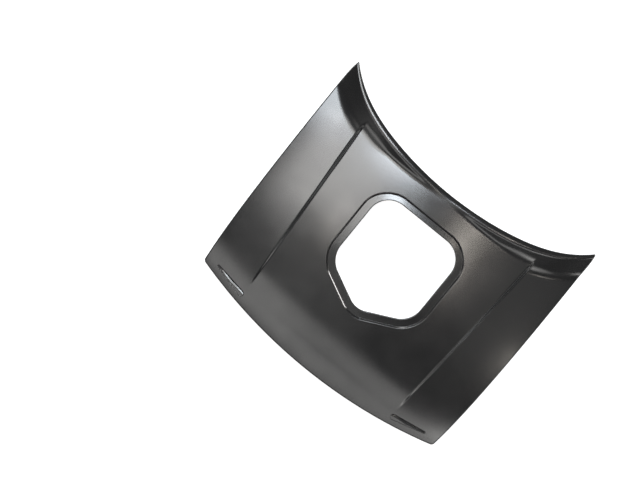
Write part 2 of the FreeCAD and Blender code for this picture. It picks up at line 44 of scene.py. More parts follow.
# Plan
HALF_WIDTH = 740.0
APEX_Y = -650.0
TIP_Y = 650.0
CORNER_HALF = 707.0
FRONT_BOW = 95.0
CORNER_Y = APEX_Y + FRONT_BOW
FRONT_RADIUS = (CORNER_HALF**2 + FRONT_BOW**2) / (2 * FRONT_BOW)
REAR_RISE = 221.0
REAR_MIDDLE = TIP_Y - REAR_RISE
REAR_ROUND = 0.674
REAR_SHARP = 0.326
TIP_HALF = 727.0
WAIST_Y = 500.0
SIDE_ROUND = 0.6
SIDE_SHARP = 0.4
CORNER_RADIUS = 20.0
TIP_RADIUS = 4.0

# Form
SHEET = 0.9
CROWN = 50.0
ARCH = 25.0
ARCH_HALF = 650.0
ARCH_PEAK = -96.702
NOSE_DROP = 13.0
NOSE_REACH = 330.0
EDGE_DEPTH = 22.0
EDGE_ROLL = 6.0
HEM_WIDTH = 20.0
HEM_ROLL = 1.5

# Raised centre
STEP_HEIGHT = 16.0
STEP_FRONT_HEIGHT = 4.0
STEP_REAR_HALF = 523.0
STEP_FRONT_HALF = 458.0
STEP_SETBACK = 110.0
STEP_FADE = 150.0
STEP_GROWTH = 850.0
STEP_BAND_FRONT = 14.0
STEP_BAND_REAR = 19.0

# Kicked-up lip: width from foot to edge, then the crest near the edge
KICK_SLOPE = 0.38
KICK_WIDTH = 66.0
KICK_SWELL = 65.0
KICK_TURN = 1.65
KICK_ROUND = 0.06
KICK_FLARE = 9.0
CREST_INSET = 26.5
CREST_INSET_EASE = 10.0
CREST_FALL = 0.26
CREST_BLEND = 7.0
CREST_REACH = 30.0
FOOT_BLEND_MIDDLE = 6.0
FOOT_BLEND_SIDE = 14.0
FOOT_BLEND_START = 320.0
FOOT_BLEND_RUN = 130.0

# Opening and band
OPENING_HALF = 243.0
OPENING_REAR = 248.0
OPENING_LENGTH = 512.0
POINT_ANGLE = math.radians(26.0)
REAR_CORNER = 108.0
SHOULDER_CORNER = 118.0
TIP_CORNER = 100.0
OPENING_ROLL = 4.5
BAND_WIDTH = 45.0
BAND_WIDTH_REAR = 36.0
BAND_DEPTH = 6.0
BAND_RISE = 2.4
BAND_WALL = 7.0
BAND_SHOULDER = 2.0
BAND_FOOT = 1.0
BAND_REACH = 60.0

# Pockets: plan, then the shelf at the front and the floor that dips behind it
POCKET_INNER = 455.0
POCKET_LENGTH = 185.0
POCKET_SETBACK = 44.0
POCKET_R_IN = 15.0
POCKET_R_OUT = 6.0
POCKET_DEPTH = 9.0
POCKET_LIP = 2.0
POCKET_DIP = 0.4
POCKET_TAPER = 0.66
POCKET_TAPER_START = 0.55
POCKET_TAPER_RUN = 0.45
POCKET_SHELF = 4.0
POCKET_SHELF_LOSS = 7.0
POCKET_SHELF_RUN = 0.5
POCKET_SHELF_BLEND = 3.0
POCKET_WALL_SLOPE = 1.3
POCKET_FRONT_SLOPE = 1.0
POCKET_FRONT_RUN = 6.0
POCKET_FLOOR_BLEND = 1.4
POCKET_RIM_BLEND = 0.8
POCKET_REACH = 20.0
POCKET_ZONE_REAR = -380.0

# Place of the formulas' origin in the frame, and their unit in metres
SHIFT_Y = 1.967
SHIFT_Z = 95.629
MM = 0.001

# Spacing of the skin's points
OUTLINE_SPACING = 8.0
OPENING_SPACING = 5.0
POCKET_SPACING = 5.0
POCKET_ARC_SPACING = 3.0
CENTRE_COLUMNS = 62
SIDE_COLUMNS = 16
PANEL_ROWS = 71
KICK_ROWS = 3
PLACE_ROUNDS = 8
CREASE_REACH = 32.0
SIDE_GAP = 2.0
PANEL_STOP = 44.0
KICK_START = 32.0
KICK_STOP = 12.0
EDGE_CLEAR = 3.0
BAND_CLEAR = 10.0
POCKET_CLEAR = 7.0
POCKET_FLOOR_INSET = 5.6
CREASE_OFFSETS = (-26, -19, -14, -11, -9, -7, -5, -3, -1, 1, 3, 5, 7, 9, 11, 14, 19, 26)
FOOT_OFFSETS = (-36, -28, -21, -15, -11, -7.5, -4.5, -2, 0.5, 3, 5.5, 8, 11, 15, 21, 28)
CREST_OFFSETS = (-12, -9.5, -7.5, -5.5, -4, -2.6, -1.3, 0, 1.3, 2.6, 4, 5.5, 7.5, 9.5, 12, 17)
OPENING_OFFSETS = (3.0, 7.0, 12.0, 18.0, 24.0)
BAND_OFFSETS = (-12.5, -10.5, -9.0, -8.0, -7.0, -6.0, -4.8, -3.5, -2.2, -1.0, 0.0, 1.0, 2.2,
                4.0, 7.0)
POCKET_OFFSETS = (-4.6, -3.6, -2.8, -2.1, -1.5, -1.0, -0.5, 0.0, 0.5, 1.1, 2.0, 4.0)
POCKET_FLOOR_ALONG = np.linspace(-0.08, 1.02, 36)
POCKET_FLOOR_ACROSS = (-9.0, -6.0, -3.0, 0.0, 3.0, 6.0, 9.0)

# Working values of the outline and the mesh
STRAIGHT = 1e6
CURVE_STEP = 0.05
CURVE_MARGIN = 5
SIDE_MARGIN = 10
TIP_GUESS = (6.0, 14.0)
FILLET_ROUNDS = 200
CORNER_STEPS = 12
TIP_STEPS = 10
TIGHTEST_INSET = 0.85
EASE_ROUNDS = 6
EASE_STEP = 0.6
TINY = 1e-9
MERGE_DISTANCE = 1e-4
SLOPE_STEP = 0.4
SHARP_ANGLE = math.radians(50)
HEM_START = 5.0
EDGE_STEPS = 7
HEM_STEPS = 4
EDGE_BACK_STEPS = 5
RIM_STEPS = 5
RIM_BACK_STEPS = 4


def smooth(q):
    q = np.clip(q, 0.0, 1.0)
    return q * q * (3 - 2 * q)


def soft_max(a, b, k):
    return np.maximum(a, b) + np.maximum(k - np.abs(a - b), 0.0)**2 / (4 * k)


def soft_min(a, b, k):
    return np.minimum(a, b) - np.maximum(k - np.abs(a - b), 0.0)**2 / (4 * k)


# Plan curves


def front_edge(x):
    return APEX_Y + FRONT_RADIUS - np.sqrt(FRONT_RADIUS**2 - x**2)


def rear_edge(x):
    q = np.abs(x) / TIP_HALF
    return REAR_MIDDLE + REAR_RISE * (REAR_ROUND * q**2 + REAR_SHARP * q**6)


def side_edge(y):
    rear = np.clip((y - WAIST_Y) / (TIP_Y - WAIST_Y), 0.0, None)
    front = np.clip((WAIST_Y - y) / (WAIST_Y - CORNER_Y), 0.0, None)
    draw_in = SIDE_ROUND * front**2 + SIDE_SHARP * front**6
    return (HALF_WIDTH - (HALF_WIDTH - TIP_HALF) * rear**3
            - (HALF_WIDTH - CORNER_HALF) * draw_in)


def step_line(y):
    # Half width of the raised centre.
    front = APEX_Y + STEP_SETBACK
    widening = STEP_REAR_HALF - STEP_FRONT_HALF
    return STEP_FRONT_HALF + widening * (y - front) / (REAR_MIDDLE - front)


def step_run(y):
    return y - APEX_Y - STEP_SETBACK


def kick_width(x):
    q = np.clip(np.abs(x) / TIP_HALF, 0.0, 1.0)
    turn = KICK_TURN * (np.sqrt(q**2 + KICK_ROUND**2) - KICK_ROUND)
    return KICK_WIDTH + KICK_SWELL * np.sin(turn) + KICK_FLARE * q**4


def crest_inset(x):
    return CREST_INSET - CREST_INSET_EASE * np.clip(np.abs(x) / TIP_HALF, 0.0, 1.0)**8


# Outline of the opening, as a chain of points with outward normals


def corner_chain(points, radii, spacing):
    # Closed outline with rounded corners: places, outward normals, bend radius at each.
    count = len(points)
    corners = [np.array(p, float) for p in points]
    places, normals, bends = [], [], []
    arcs = []
    for k in range(count):
        here = corners[k]
        back = corners[k - 1] - here
        ahead = corners[(k + 1) % count] - here
        back = back / np.linalg.norm(back)
        ahead = ahead / np.linalg.norm(ahead)
        half = math.acos(float(np.dot(back, ahead))) / 2
        middle = (back + ahead) / np.linalg.norm(back + ahead)
        centre = here + middle * (radii[k] / math.sin(half))
        start = here + back * radii[k] / math.tan(half)
        stop = here + ahead * radii[k] / math.tan(half)
        arcs.append((centre, start, stop))
    for k in range(count):
        centre, start, stop = arcs[k]
        first, last = turned_span(centre, start, stop)
        steps = max(4, int(round((last - first) * radii[k] / spacing)))
        for j in range(steps + 1):
            a = first + (last - first) * j / steps
            n = np.array([math.cos(a), math.sin(a)])
            places.append(centre + n * radii[k])
            normals.append(n)
            bends.append(radii[k])
        follow = arcs[(k + 1) % count][1]
        steps = max(1, int(round(np.linalg.norm(follow - stop) / spacing)))
        n = np.array([math.cos(last), math.sin(last)])
        for j in range(1, steps):
            places.append(stop + (follow - stop) * j / steps)
            normals.append(n)
            bends.append(STRAIGHT)
    return np.array(places), np.array(normals), np.array(bends)


def turned_span(centre, start, stop):
    # Angles of two points about a centre, the second ahead of the first.
    first = math.atan2(*(start - centre)[::-1])
    last = math.atan2(*(stop - centre)[::-1])
    while last < first:
        last += 2 * math.pi
    return first, last


def opening_corners():
    slope = math.tan(POINT_ANGLE)
    gap = TIP_CORNER * (1 / math.cos(POINT_ANGLE) - 1)
    point = OPENING_REAR - OPENING_LENGTH - gap
    shoulder = point + OPENING_HALF * slope
    points = [(0, point), (OPENING_HALF, shoulder), (OPENING_HALF, OPENING_REAR),
              (-OPENING_HALF, OPENING_REAR), (-OPENING_HALF, shoulder)]
    return points, [TIP_CORNER, SHOULDER_CORNER, REAR_CORNER, REAR_CORNER, SHOULDER_CORNER]


def chain_distance(x, y, places, normals, bends):
    # Signed distance to a closed chain, positive outside, and the normal's Y there.
    best = np.full(x.shape, np.inf)
    signed = np.ones(x.shape)
    facing = np.zeros(x.shape)
    count = len(places)
    for k in range(count):
        after = (k + 1) % count
        a = places[k]
        d = places[after] - a
        length2 = float(np.dot(d, d)) or TINY
        length = math.sqrt(length2)
        t = np.clip(((x - a[0]) * d[0] + (y - a[1]) * d[1]) / length2, 0, 1)
        px, py = a[0] + t * d[0], a[1] + t * d[1]
        mx, my = [normals[k][i] + t * (normals[after][i] - normals[k][i]) for i in (0, 1)]
        m = np.hypot(mx, my)
        mx, my = mx / m, my / m
        swell = 0.0
        if bends[k] < STRAIGHT and bends[after] < STRAIGHT:
            # The arc stands out beyond its chord.
            swell = length * t * length * (1 - t) / (2 * bends[k])
        side = (x - px) * mx + (y - py) * my
        dist = np.hypot(x - px, y - py)
        closer = dist < best
        best = np.where(closer, dist, best)
        signed = np.where(closer, np.sign(side) * dist - swell, signed)
        facing = np.where(closer, my, facing)
    return signed, facing


OPENING = corner_chain(*opening_corners(), OPENING_SPACING)


# Heights


def base_height(x, y):
    return -CROWN * (x / HALF_WIDTH)**2 - ARCH * ((y - ARCH_PEAK) / ARCH_HALF)**2


def step_rise(y):
    growth = (STEP_HEIGHT - STEP_FRONT_HEIGHT) * smooth(step_run(y) / STEP_GROWTH)
    return STEP_FRONT_HEIGHT * smooth(step_run(y) / STEP_FADE) + growth


def raised_share(x, y):
    # 1 on the raised centre, 0 outside its creases.
    widening = STEP_BAND_REAR - STEP_BAND_FRONT
    band = STEP_BAND_FRONT + widening * smooth(step_run(y) / STEP_GROWTH)
    return smooth((step_line(y) - np.abs(x)) / band + 0.5)


def band_width_at(facing):
    # The band narrows along the rear side.
    return BAND_WIDTH - (BAND_WIDTH - BAND_WIDTH_REAR) * smooth(facing)


def band_drop(grow, width):
    foot = width - BAND_WALL
    ledge = -BAND_DEPTH + BAND_RISE * (foot - grow) / (BAND_WIDTH - BAND_WALL)
    wall = (grow - width) * BAND_DEPTH / BAND_WALL
    return soft_min(np.zeros_like(grow), soft_max(ledge, wall, BAND_FOOT), BAND_SHOULDER)


def pocket_line(side):
    # Ends of the slot's middle line, its direction, its length and the lean of its sides.
    inner = POCKET_INNER + POCKET_R_IN
    outer = POCKET_INNER + POCKET_LENGTH - POCKET_R_OUT
    a, b = [np.array([side * x, float(front_edge(x)) + POCKET_SETBACK]) for x in (inner, outer)]
    length = float(np.linalg.norm(b - a))
    return a, b, (b - a) / length, length, (POCKET_R_IN - POCKET_R_OUT) / length


def pocket_distance(x, y, side):
    # Distance to the tapered slot, share of its length, and place across it.
    a, _, u, length, lean = pocket_line(side)
    v = np.array([-u[1], u[0]]) * side
    s = (x - a[0]) * u[0] + (y - a[1]) * u[1]
    t = (x - a[0]) * v[0] + (y - a[1]) * v[1]
    q = np.clip((s + np.abs(t) * lean / math.sqrt(1 - lean**2)) / length, 0, 1)
    dist = np.hypot(s - q * length, t) - (POCKET_R_IN + (POCKET_R_OUT - POCKET_R_IN) * q)
    return dist, s / length, t


def pocket_drop(x, y, side):
    # Flat shelf at the front, dipping to the rear wall, less so towards the outer end.
    dist, q, t = pocket_distance(x, y, side)
    dip = POCKET_DIP * (1 - POCKET_TAPER * smooth((q - POCKET_TAPER_START) / POCKET_TAPER_RUN))
    shelf = POCKET_SHELF - POCKET_SHELF_LOSS * smooth(q / POCKET_SHELF_RUN)
    floor = POCKET_LIP + dip * soft_max(t - shelf, np.zeros_like(t), POCKET_SHELF_BLEND)
    floor = np.minimum(floor, POCKET_DEPTH)
    wall = -dist * (POCKET_WALL_SLOPE + POCKET_FRONT_SLOPE * smooth(-t / POCKET_FRONT_RUN))
    pressed = soft_min(floor, wall, POCKET_FLOOR_BLEND)
    return -soft_max(pressed, np.zeros_like(dist), POCKET_RIM_BLEND)


def lipped_height(x, y):
    # Panel with its raised centre, kicked up at the rear and falling behind the crest.
    nose = -NOSE_DROP * np.clip(1 - (y - front_edge(x)) / NOSE_REACH, 0, None)**3
    panel = base_height(x, y) + nose + raised_share(x, y) * step_rise(y)
    edge = rear_edge(x)
    width = kick_width(x)
    inset = crest_inset(x)
    to_edge = edge - y
    foot = base_height(x, edge - width)
    kick = foot + KICK_SLOPE * (width - to_edge)
    lip = foot + KICK_SLOPE * (width - inset) - CREST_FALL * (inset - to_edge)
    to_side = smooth((np.abs(x) - FOOT_BLEND_START) / FOOT_BLEND_RUN)
    blend = FOOT_BLEND_MIDDLE + (FOOT_BLEND_SIDE - FOOT_BLEND_MIDDLE) * to_side
    z = soft_max(panel, kick, blend)
    return np.where(to_edge < inset + CREST_REACH, soft_min(z, lip, CREST_BLEND), z)


def height(x, y):
    # Height of the pressed surface, in millimetres above the lowest edge.
    z = lipped_height(x, y)
    near = np.abs(x) < OPENING_HALF + BAND_REACH
    near &= (y > OPENING_REAR - OPENING_LENGTH - BAND_REACH) & (y < OPENING_REAR + BAND_REACH)
    if near.any():
        grow, facing = chain_distance(x[near], y[near], *OPENING)
        z[near] += band_drop(np.maximum(grow, 0.0), band_width_at(facing))
    for side in (1, -1):
        near = (x * side > POCKET_INNER - POCKET_REACH) & (y < POCKET_ZONE_REAR)
        near &= x * side < POCKET_INNER + POCKET_LENGTH + POCKET_REACH
        if near.any():
            z[near] += pocket_drop(x[near], y[near], side)
    return z + SHIFT_Z


def surface_normals(x, y):
    h = SLOPE_STEP
    across = (height(x + h, y) - height(x - h, y)) / (2 * h)
    along = (height(x, y + h) - height(x, y - h)) / (2 * h)
    normals = np.stack([-across, -along, np.ones_like(across)], axis=1)
    return normals / np.linalg.norm(normals, axis=1)[:, None]


# Outline of the panel


def fillet(first, second, centre, radius):
    # Centre of the circle that touches two curves.
    for _ in range(FILLET_ROUNDS):
        for curve in (first, second):
            foot = curve[nearest(curve, centre)]
            away = centre - foot
            centre = foot + away / np.linalg.norm(away) * radius
    return centre


def nearest(curve, place):
    return int(np.argmin(((curve - place)**2).sum(axis=1)))


def sampled(curve, start, stop, step):
    # Even points of a part of a curve, with normals to its right.
    part = curve[start:stop + 1]
    run = np.concatenate([[0], np.cumsum(np.linalg.norm(np.diff(part, axis=0), axis=1))])
    where = np.linspace(0, run[-1], max(2, int(round(run[-1] / step))) + 1)
    places = np.stack([np.interp(where, run, part[:, i]) for i in (0, 1)], axis=1)
    ahead = np.gradient(places, axis=0)
    ahead = ahead / np.linalg.norm(ahead, axis=1)[:, None]
    return places, np.stack([ahead[:, 1], -ahead[:, 0]], axis=1)


def arc(centre, start, stop, radius, steps):
    angles = np.linspace(*turned_span(centre, start, stop), steps + 1)
    normals = np.stack([np.cos(angles), np.sin(angles)], axis=1)
    return centre + normals * radius, normals


def outline_chain(spacing):
    # Anticlockwise from the middle of the front edge.
    xs = np.arange(0, CORNER_HALF + CURVE_MARGIN, CURVE_STEP)
    front = np.stack([xs, front_edge(xs)], axis=1)
    ys = np.arange(CORNER_Y - SIDE_MARGIN, TIP_Y + SIDE_MARGIN, CURVE_STEP)
    side = np.stack([side_edge(ys), ys], axis=1)
    xs = np.arange(TIP_HALF + CURVE_MARGIN, 0, -CURVE_STEP)
    rear = np.stack([xs, rear_edge(xs)], axis=1)
    guess = np.array([CORNER_HALF - CORNER_RADIUS, CORNER_Y + CORNER_RADIUS])
    corner = fillet(front, side, guess, CORNER_RADIUS)
    guess = np.array([TIP_HALF - TIP_GUESS[0], TIP_Y - TIP_GUESS[1]])
    tip = fillet(side, rear, guess, TIP_RADIUS)

    front_end = nearest(front, corner)
    side_start = nearest(side, corner)
    side_end = nearest(side, tip)
    rear_start = nearest(rear, tip)
    # Each piece: its points and normals, its bend, and the points dropped at both ends.
    pieces = [(sampled(front, 0, front_end, spacing), STRAIGHT, 0, 1),
              (arc(corner, front[front_end], side[side_start], CORNER_RADIUS, CORNER_STEPS),
               CORNER_RADIUS, 0, 0),
              (sampled(side, side_start, side_end, spacing), STRAIGHT, 1, 1),
              (arc(tip, side[side_end], rear[rear_start], TIP_RADIUS, TIP_STEPS),
               TIP_RADIUS, 0, 0),
              (sampled(rear, rear_start, len(rear) - 1, spacing), STRAIGHT, 1, 0)]
    places, normals, bends = [], [], []
    for (p, n), bend, skip, drop in pieces:
        last = len(p) - drop
        places.append(p[skip:last])
        normals.append(n[skip:last])
        bends.append(np.full(last - skip, bend))
    places, normals, bends = [np.concatenate(part) for part in (places, normals, bends)]
    # Both ends lie on the centre line; the left half is the mirror image.
    places[0, 0] = 0.0
    places[-1, 0] = 0.0
    normals[0] = (0, -1)
    normals[-1] = (0, 1)
    flip = np.array([-1, 1])
    return (np.concatenate([places, (places[1:-1] * flip)[::-1]]),
            np.concatenate([normals, (normals[1:-1] * flip)[::-1]]),
            np.concatenate([bends, bends[1:-1][::-1]]))


OUTLINE = outline_chain(OUTLINE_SPACING)


def inset_outline(inset):
    # The inset is held back at corners tighter than it.
    places, normals, bends = OUTLINE
    amount = np.minimum(inset, TIGHTEST_INSET * bends)
    for _ in range(EASE_ROUNDS):
        around = (np.roll(amount, 1) + np.roll(amount, -1)) / 2
        amount = np.minimum(amount, around + EASE_STEP)
    return places - normals * amount[:, None]


def inside_polygon(x, y, polygon):
    inside = np.zeros(x.shape, bool)
    count = len(polygon)
    for k in range(count):
        x0, y0 = polygon[k]
        x1, y1 = polygon[(k + 1) % count]
        if y1 != y0:
            crossed = (y0 > y) != (y1 > y)
            inside ^= crossed & (x < x0 + (y - y0) * (x1 - x0) / (y1 - y0))
    return inside


def polygon_distance(x, y, polygon):
    best = np.full(x.shape, np.inf)
    count = len(polygon)
    for k in range(count):
        a = polygon[k]
        d = polygon[(k + 1) % count] - a
        length2 = float(np.dot(d, d)) or TINY
        t = np.clip(((x - a[0]) * d[0] + (y - a[1]) * d[1]) / length2, 0, 1)
        best = np.minimum(best, (x - a[0] - t * d[0])**2 + (y - a[1] - t * d[1])**2)
    return np.sqrt(best)


# Points of the skin's top face in plan


def column_x(column, y):
    kind, side, value = column
    line = step_line(y)
    if kind == "centre":
        return value * (line - CREASE_REACH)
    if kind == "crease":
        return side * (line + value)
    run = side_edge(y) - SIDE_GAP - line - CREASE_REACH
    return side * (line + CREASE_REACH + run * value)


def row_y(row, x, y):
    kind, value = row
    front = front_edge(x)
    rear = rear_edge(x)
    foot = rear - kick_width(x) + raised_share(x, y) * step_rise(y) / KICK_SLOPE
    crest = rear - crest_inset(x)
    if kind == "panel":
        return front + (foot - PANEL_STOP - front) * value
    if kind == "foot":
        return foot + value
    if kind == "kick":
        return foot + KICK_START + (crest - KICK_STOP - foot - KICK_START) * value
    return crest + value


def panel_points():
    # Rows and columns that follow the creases, the kick's foot and its crest.
    columns = [("centre", 1, 2 * (k / CENTRE_COLUMNS) - 1) for k in range(CENTRE_COLUMNS + 1)]
    columns += [("crease", side, offset) for side in (1, -1) for offset in CREASE_OFFSETS]
    columns += [("side", side, k / SIDE_COLUMNS)
                for side in (1, -1) for k in range(SIDE_COLUMNS + 1)]
    rows = [("panel", k / PANEL_ROWS) for k in range(PANEL_ROWS + 1)]
    rows += [("foot", offset) for offset in FOOT_OFFSETS]
    rows += [("kick", k / KICK_ROWS) for k in range(KICK_ROWS + 1)]
    rows += [("crest", offset) for offset in CREST_OFFSETS]
    points = []
    for column in columns:
        for row in rows:
            y = 0.0
            for _ in range(PLACE_ROUNDS):
                y = row_y(row, column_x(column, y), y)
            points.append((float(column_x(column, y)), float(y)))
    return np.array(points)


def pocket_chain(side):
    # Outline of the tapered slot, with outward normals.
    a, b, u, _, lean = pocket_line(side)
    v = np.array([-u[1], u[0]])
    turn = math.asin(lean)
    quarter = math.pi / 2
    places, normals = [], []
    for start, stop, centre, radius, other, other_radius in (
            (quarter - turn, 3 * quarter + turn, a, POCKET_R_IN, b, POCKET_R_OUT),
            (-quarter + turn, quarter - turn, b, POCKET_R_OUT, a, POCKET_R_IN)):
        steps = max(8, int(round((stop - start) * radius / POCKET_ARC_SPACING)))
        for k in range(steps + 1):
            w = start + (stop - start) * k / steps
            n = u * math.cos(w) + v * math.sin(w)
            places.append(centre + n * radius)
            normals.append(n)
        here = centre + n * radius
        there = other + n * other_radius
        steps = int(round(np.linalg.norm(there - here) / POCKET_SPACING))
        for k in range(1, steps):
            places.append(here + (there - here) * k / steps)
            normals.append(n)
    return np.array(places), np.array(normals)


def pocket_points(side):
    places, normals = pocket_chain(side)
    rings = [places + normals * offset for offset in POCKET_OFFSETS]
    a, b, u, _, _ = pocket_line(side)
    across = np.array([-u[1], u[0]])
    floor = np.array([a + (b - a) * q + across * t
                      for q in POCKET_FLOOR_ALONG for t in POCKET_FLOOR_ACROSS])
    dist, _, _ = pocket_distance(floor[:, 0], floor[:, 1], side)
    return rings + [floor[dist < -POCKET_FLOOR_INSET]]


def skin_points():
    # Both loops first, then the panel, the rings of the opening and the pockets.
    edge_loop = inset_outline(EDGE_ROLL)
    places, normals, _ = OPENING
    opening_loop = places + normals * OPENING_ROLL

    points = panel_points()
    points = points[inside_polygon(*points.T, edge_loop)]
    points = points[polygon_distance(*points.T, edge_loop) > EDGE_CLEAR]
    grow, facing = chain_distance(*points.T, *OPENING)
    points = points[grow > band_width_at(facing) + BAND_CLEAR]
    for side in (1, -1):
        dist, _, _ = pocket_distance(*points.T, side)
        points = points[dist > POCKET_CLEAR]

    width = band_width_at(normals[:, 1])
    rings = [places + normals * (OPENING_ROLL + offset) for offset in OPENING_OFFSETS]
    rings += [places + normals * (width + offset)[:, None] for offset in BAND_OFFSETS]
    for side in (1, -1):
        rings += pocket_points(side)
    return np.concatenate([edge_loop, opening_loop, points] + rings)


def triangulated(points, edge_count, opening_count):
    # Places and triangles between both loops, and the loops' own points.
    edges = [(k, (k + 1) % edge_count) for k in range(edge_count)]
    edges += [(edge_count + k, edge_count + (k + 1) % opening_count)
              for k in range(opening_count)]
    verts, _, faces, source, _, _ = delaunay_2d_cdt(
        [Vector(p) for p in points], edges, [], 0, MERGE_DISTANCE, True)
    flat = np.array([(v.x, v.y) for v in verts])
    index = {origin: k for k, origins in enumerate(source) for origin in origins}
    edge_ids = [index[k] for k in range(edge_count)]
    opening_ids = [index[edge_count + k] for k in range(opening_count)]

    tris = np.array([f for f in faces if len(f) == 3])
    centres = flat[tris].mean(axis=1)
    keep = inside_polygon(*centres.T, flat[edge_ids])
    keep &= ~inside_polygon(*centres.T, flat[opening_ids])
    tris = tris[keep]
    a, b, c = [flat[tris[:, i]] for i in range(3)]
    area = (b[:, 0] - a[:, 0]) * (c[:, 1] - a[:, 1]) - (b[:, 1] - a[:, 1]) * (c[:, 0] - a[:, 0])
    tris = np.where((area < 0)[:, None], tris[:, ::-1], tris)
    used = np.unique(tris)
    place_of = {int(old): new for new, old in enumerate(used)}
    tris = np.searchsorted(used, tris)
    return (flat[used], tris, [place_of[k] for k in edge_ids],
            [place_of[k] for k in opening_ids])


# Rows that carry the skin round its edges


def lifted(places, lift):
    z = height(places[:, 0], places[:, 1]) + lift
    return np.column_stack([places, z])


def edge_row(inset, lift):
    return lifted(inset_outline(inset), lift)


def opening_row(grow, lift):
    places, normals, _ = OPENING
    return lifted(places + normals * grow, lift)


def roll_over(row, roll, steps):
    turns = [math.radians(90 * k / steps) for k in range(1, steps + 1)]
    return [row(roll * (1 - math.sin(a)), -roll * (1 - math.cos(a))) for a in turns]


def roll_back(row, roll, steps):
    # The same roll on the sheet's inner face, back to its underside.
    inner = roll - SHEET
    turns = [math.radians(90 * (steps - k) / steps) for k in range(1, steps)]
    return [row(roll - inner * math.sin(a), -roll + inner * math.cos(a)) for a in turns]


def edge_rows():
    # Over the rolled edge, round the inward flange and back inside.
    bottom = -EDGE_DEPTH
    rows = roll_over(edge_row, EDGE_ROLL, EDGE_STEPS)
    rows.append(edge_row(0.0, bottom + HEM_START))
    for a in [math.radians(90 * k / HEM_STEPS) for k in range(HEM_STEPS + 1)]:
        inset = HEM_ROLL * (1 - math.cos(a))
        rows.append(edge_row(inset, bottom + HEM_ROLL * (1 - math.sin(a))))
    top = bottom + SHEET
    for inset, lift in ((HEM_WIDTH - 1.0, bottom), (HEM_WIDTH, bottom), (HEM_WIDTH, top),
                        (HEM_WIDTH - 1.0, top), (SHEET + 1.0, top), (SHEET, top + 1.0),
                        (SHEET, -EDGE_ROLL)):
        rows.append(edge_row(inset, lift))
    return rows + roll_back(edge_row, EDGE_ROLL, EDGE_BACK_STEPS)


def opening_rows():
    # Over the rolled rim, down its wall and back up behind it.
    bottom = -EDGE_DEPTH - band_drop(np.zeros(1), np.array([BAND_WIDTH]))[0]
    rows = roll_over(opening_row, OPENING_ROLL, RIM_STEPS)
    for grow, lift in ((0.0, bottom + 1.0), (0.1, bottom), (SHEET - 0.1, bottom),
                       (SHEET, bottom + 1.0), (SHEET, -OPENING_ROLL)):
        rows.append(opening_row(grow, lift))
    return rows + roll_back(opening_row, OPENING_ROLL, RIM_BACK_STEPS)


def joined(loops, flip):
    # Quads from each loop of vertex numbers to the next.
    quads = []
    for one, two in zip(loops, loops[1:]):
        for k in range(len(one)):
            after = (k + 1) % len(one)
            quad = (one[k], two[k], two[after], one[after])
            quads.append(quad[::-1] if flip else quad)
    return quads


def skin_mesh():
    flat, tris, edge_ids, opening_ids = triangulated(
        skin_points(), len(OUTLINE[0]), len(OPENING[0]))
    count = len(flat)
    normals = surface_normals(flat[:, 0], flat[:, 1])
    parts = [lifted(flat, 0.0), lifted(flat, -SHEET)]
    faces = [tuple(f) for f in tris.tolist() + (tris[:, ::-1] + count).tolist()]
    total = 2 * count
    for ids, rows, flip in ((edge_ids, edge_rows(), False), (opening_ids, opening_rows(), True)):
        loops = [ids]
        for row in rows:
            loops.append(range(total, total + len(row)))
            total += len(row)
        loops.append([k + count for k in ids])
        parts += rows
        faces += joined(loops, flip)

    verts = np.concatenate(parts)
    verts[:, 1] += SHIFT_Y
    verts *= MM
    mesh = bpy.data.meshes.new("skin_panel")
    mesh.from_pydata(verts.tolist(), [], faces)
    mesh.update()
    mesh.shade_smooth()
    mesh.set_sharp_from_angle(angle=SHARP_ANGLE)
    set_face_normals(mesh, normals)
    return mesh


def set_face_normals(mesh, normals):
    # Normals of the formula on the top face and, turned over, on the underside.
    count = len(normals)
    corner = np.empty(len(mesh.loops) * 3)
    mesh.corner_normals.foreach_get("vector", corner)
    corner = corner.reshape(-1, 3)
    vertex_of = np.empty(len(mesh.loops), int)
    mesh.loops.foreach_get("vertex_index", vertex_of)
    on_top = vertex_of < count
    on_under = (vertex_of >= count) & (vertex_of < 2 * count)
    corner[on_top] = normals[vertex_of[on_top]]
    corner[on_under] = -normals[vertex_of[on_under] - count]
    mesh.normals_split_custom_set(corner.tolist())


# Materials


def principled(name, color, roughness, metallic=0.0, specular=0.5):
    material = bpy.data.materials.new(name)
    material.use_nodes = True
    tree = material.node_tree
    shader = tree.nodes["Principled BSDF"]
    shader.inputs["Base Color"].default_value = (*color, 1)
    shader.inputs["Roughness"].default_value = roughness
    shader.inputs["Metallic"].default_value = metallic
    shader.inputs["Specular IOR Level"].default_value = specular
    return material, tree, shader


def noise(tree, scale, detail=3.0, rough=0.5):
    coords = tree.nodes.new("ShaderNodeTexCoord")
    node = tree.nodes.new("ShaderNodeTexNoise")
    node.inputs["Scale"].default_value = scale
    node.inputs["Detail"].default_value = detail
    node.inputs["Roughness"].default_value = rough
    tree.links.new(coords.outputs["Object"], node.inputs["Vector"])
    return node.outputs["Fac"]


def spread_between(tree, source, low, high, start=0.3, stop=0.7):
    node = tree.nodes.new("ShaderNodeMapRange")
    node.inputs["From Min"].default_value = start
    node.inputs["From Max"].default_value = stop
    node.inputs["To Min"].default_value = low
    node.inputs["To Max"].default_value = high
    tree.links.new(source, node.inputs["Value"])
    return node.outputs["Result"]


def mottled(tree, shader, cloud, low, high):
    # Base colour that drifts between two tones with a noise.
    node = tree.nodes.new("ShaderNodeMix")
    node.data_type = "RGBA"
    node.inputs["A"].default_value = (*low, 1)
    node.inputs["B"].default_value = (*high, 1)
    tree.links.new(spread_between(tree, cloud, 0, 1), node.inputs["Factor"])
    tree.links.new(node.outputs["Result"], shader.inputs["Base Color"])


def smeared(tree, shader, cloud, low, high):
    tree.links.new(spread_between(tree, cloud, low, high), shader.inputs["Roughness"])


